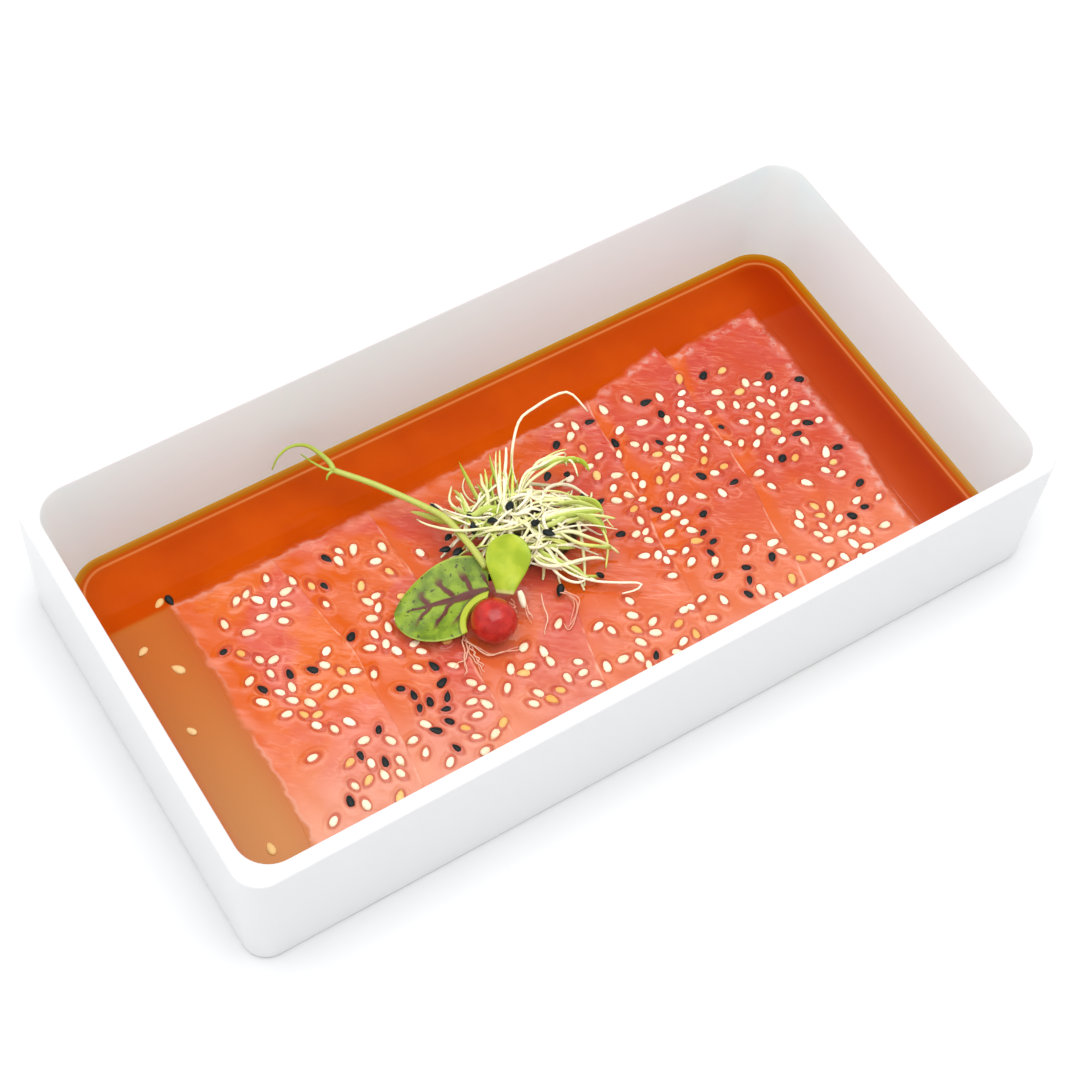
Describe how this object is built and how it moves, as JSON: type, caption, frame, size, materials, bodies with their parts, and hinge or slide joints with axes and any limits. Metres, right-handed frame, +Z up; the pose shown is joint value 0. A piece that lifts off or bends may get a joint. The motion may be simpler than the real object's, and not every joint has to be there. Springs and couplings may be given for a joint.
{
  "type": "tuna carpaccio in a dish",
  "caption": "Thin slices of raw tuna in orange sauce with sesame, sprouts, a leaf and a red berry, served in an oblong white dish.",
  "frame": {"origin": "middle of the dish's base, on the surface it stands on", "axes": "+X along the dish's long side, +Y towards its back, +Z up"},
  "size_m": [0.2, 0.1046, 0.0365],
  "materials": {
    "dish_white": "satin white glaze",
    "sauce_orange": "wet orange-brown sauce",
    "tuna": "wet raw tuna",
    "sesame_white": "hulled sesame",
    "sesame_black": "black sesame",
    "berry_red": "glossy red skin",
    "leaf_green": "green leaf with dark red veins",
    "leaf_lime": "lime-green leaf",
    "shoot_green": "green stem",
    "sprout_pale": "pale sprout stems with black seed coats"
  },
  "bodies": {
    "root": {"dish": "dish_white", "sauce": "sauce_orange", "slice_1": "tuna", "slice_2": "tuna", "slice_3": "tuna", "slice_4": "tuna", "slice_5": "tuna", "slice_6": "tuna", "berry": "berry_red", "sorrel_leaf": "leaf_green", "lime_leaf": "leaf_lime", "pea_shoot": "shoot_green", "sprouts": "sprout_pale"}
  },
  "joints": []
}
